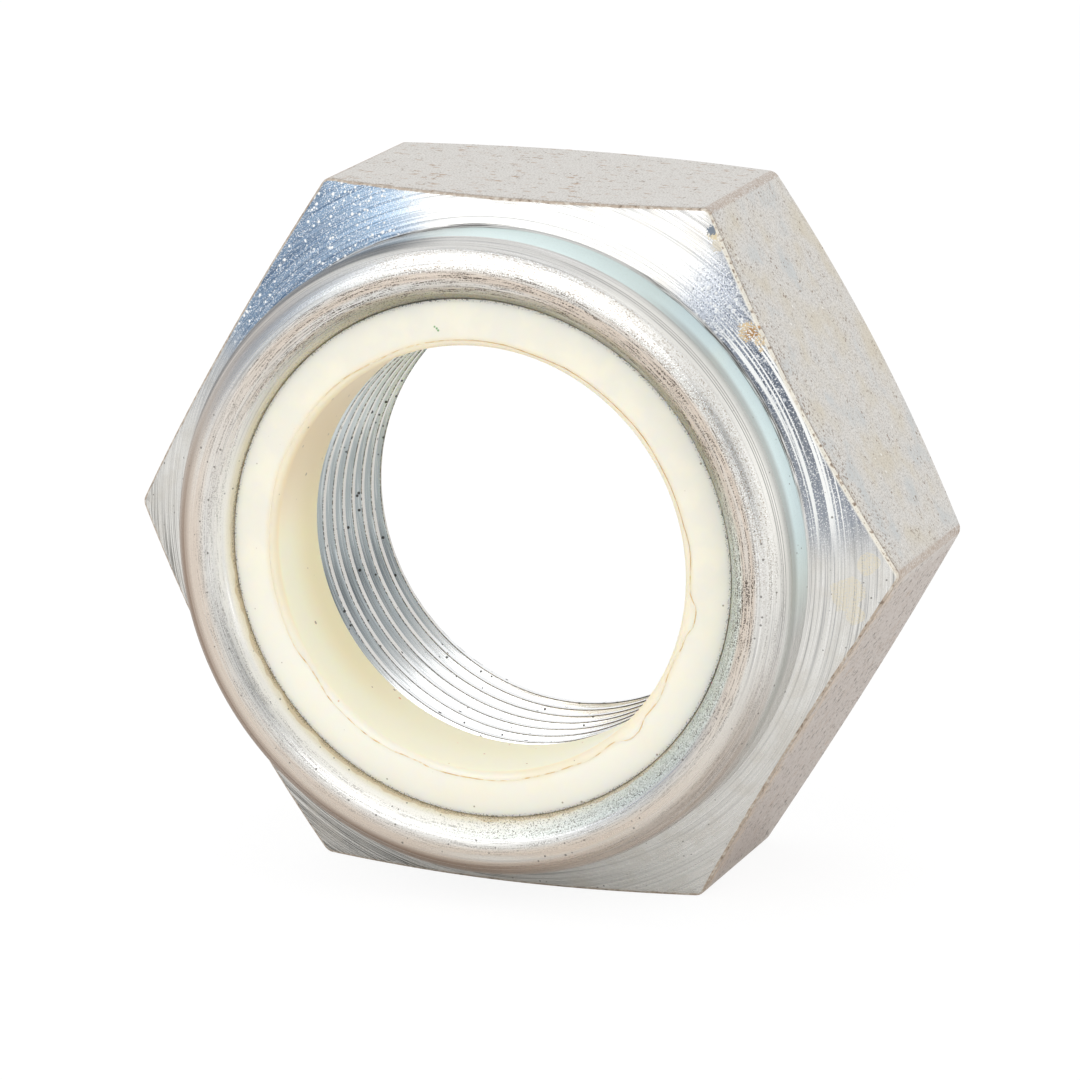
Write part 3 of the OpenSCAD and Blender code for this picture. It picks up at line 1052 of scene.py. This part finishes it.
# %% Put on the finishes
for material in (turned, flat_zinc, tapped, rim_zinc):
    blank.data.materials.append(material)
ring.data.materials.append(nylon)
flash.data.materials.append(flash_nylon)
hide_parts("nut_body")
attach(blank, "root")
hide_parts("locking_insert")
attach(ring, "root")
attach(flash, "root")
for piece in (blank, ring, flash):
    print(piece.name, "wears", [material.name for material in piece.data.materials])

# %% [markdown]
# The studio starts with a large sheet of white paper under the nut. To the camera most of it is an
# even white, so that it has no edge, and a small share is real paper, which keeps the nut's soft
# shadow. The metal sees it as slightly warmer paper.

# %% Floor
PAPER_TO_LENS = 0.16
PAPER_TO_METAL = 0.88
bpy.ops.object.select_all(action="DESELECT")
bpy.ops.mesh.primitive_plane_add(size=3, location=(0, 0, -ACROSS_FLATS / 2 * mm))
floor = bpy.context.object
floor.name = "floor"
bpy.ops.object.transform_apply(location=True, rotation=False, scale=False)
white, tree = new_material("white_floor")
path = add(tree, "LightPath")
to_lens = add(tree, "MixShader", _0=PAPER_TO_LENS,
              _1=add(tree, "Emission", Color=(1, 1, 1, 1), Strength=1.05),
              _2=add(tree, "BsdfDiffuse", Color=(0.9, 0.9, 0.9, 1)))
to_metal = add(tree, "MixShader", _0=PAPER_TO_METAL,
               _1=add(tree, "Emission", Color=(1, 1, 1, 1), Strength=1.0),
               _2=add(tree, "BsdfDiffuse", Color=(0.95, 0.94, 0.92, 1)))
paper = add(tree, "MixShader", _0=path.outputs["Is Camera Ray"], _1=to_metal, _2=to_lens)
close_material(white, paper)
floor.data.materials.append(white)

# %% [markdown]
# Metal shows what stands round it. The camera sees a plain white surround, but the nut sees a
# studio: soft grey behind the camera, a dark patch a little to the right of it, a cool blue-grey
# one on the left and a bright one far on the right. Each patch has a direction, the half angle of
# its full part and that of its soft edge, and a linear colour.

# %% World
world = bpy.data.worlds.new("studio")
bpy.context.scene.world = world
world.use_nodes = True
tree = world.node_tree
tree.nodes.clear()
path = add(tree, "LightPath")
direction = add(tree, "TexCoord").outputs["Generated"]
surround = add(tree, "RGB").outputs[0]
surround.default_value = (0.98, 0.98, 0.98, 1)
patches = (
    ((0.0, -1.0, 0.1), 40, 88, (0.62, 0.62, 0.61, 1)),
    ((0.50, -0.85, 0.06), 6, 22, (0.10, 0.11, 0.13, 1)),
    ((-0.80, -0.53, 0.28), 8, 30, (0.40, 0.47, 0.58, 1)),
    ((0.93, -0.30, 0.06), 12, 34, (1.5, 1.5, 1.48, 1)),
)
for aim, inner, outer, tint in patches:
    aim = Vector(aim).normalized()
    near = add(tree, "VectorMath", {"operation": "DOT_PRODUCT"}, _0=direction, _1=aim).outputs["Value"]
    share = mask(tree, (near, math.cos(math.radians(outer)), math.cos(math.radians(inner))))
    surround = add(tree, "Mix", {"data_type": "RGBA"}, _0=share, _6=surround, _7=tint).outputs[2]
seen = add(tree, "Background", Color=(1, 1, 1, 1), Strength=1.0)
lights = add(tree, "Background", Color=surround, Strength=1.0)
both = add(tree, "MixShader", _0=path.outputs["Is Camera Ray"], _1=lights, _2=seen)
add(tree, "OutputWorld", Surface=both)
print("patches in the surround:", len(patches))

# %% [markdown]
# One large softbox hangs in front on the left, above the camera. It puts the white highlight on
# the upper chamfer and on the lip. Its power is worked out from its area.

# %% Softbox
SOFTBOX_WIDTH = 0.62
SOFTBOX_HEIGHT = 0.46
SOFTBOX_DISTANCE = 0.6
SOFTBOX_LEVEL = 1.7
aim = Vector((-0.24, -0.82, 0.52)).normalized()
bpy.ops.object.light_add(type="AREA", location=aim * SOFTBOX_DISTANCE)
key = bpy.context.object
key.name = "softbox"
key.rotation_mode = "QUATERNION"
key.rotation_quaternion = aim.to_track_quat("Z", "Y")
key.data.shape = "RECTANGLE"
key.data.size = SOFTBOX_WIDTH
key.data.size_y = SOFTBOX_HEIGHT
key.data.energy = SOFTBOX_LEVEL * math.pi * SOFTBOX_WIDTH * SOFTBOX_HEIGHT
print("softbox power in W:", round(key.data.energy, 2))

# %% [markdown]
# The camera stands where the photographer stood, a little to the right and above, with a long
# lens. Its place and its three axes were fitted to the hexagon in the photograph.

# %% Camera
bpy.ops.object.camera_add(location=(0.12847, -0.34844, 0.09314))
camera = bpy.context.object
right = Vector((0.93460, 0.35566, 0.00483))
up = Vector((-0.09395, 0.23375, 0.96775))
ahead = Vector((-0.34306, 0.90491, -0.25188))
camera.rotation_mode = "QUATERNION"
camera.rotation_quaternion = Matrix((right, up, -ahead)).transposed().to_quaternion()
camera.data.lens = 211.7
camera.data.sensor_width = 36
camera.data.clip_start = 0.01
camera.data.clip_end = 10
bpy.context.scene.camera = camera
bpy.context.scene.view_settings.view_transform = "Standard"
print("camera to nut in mm:", round(camera.location.length / mm))
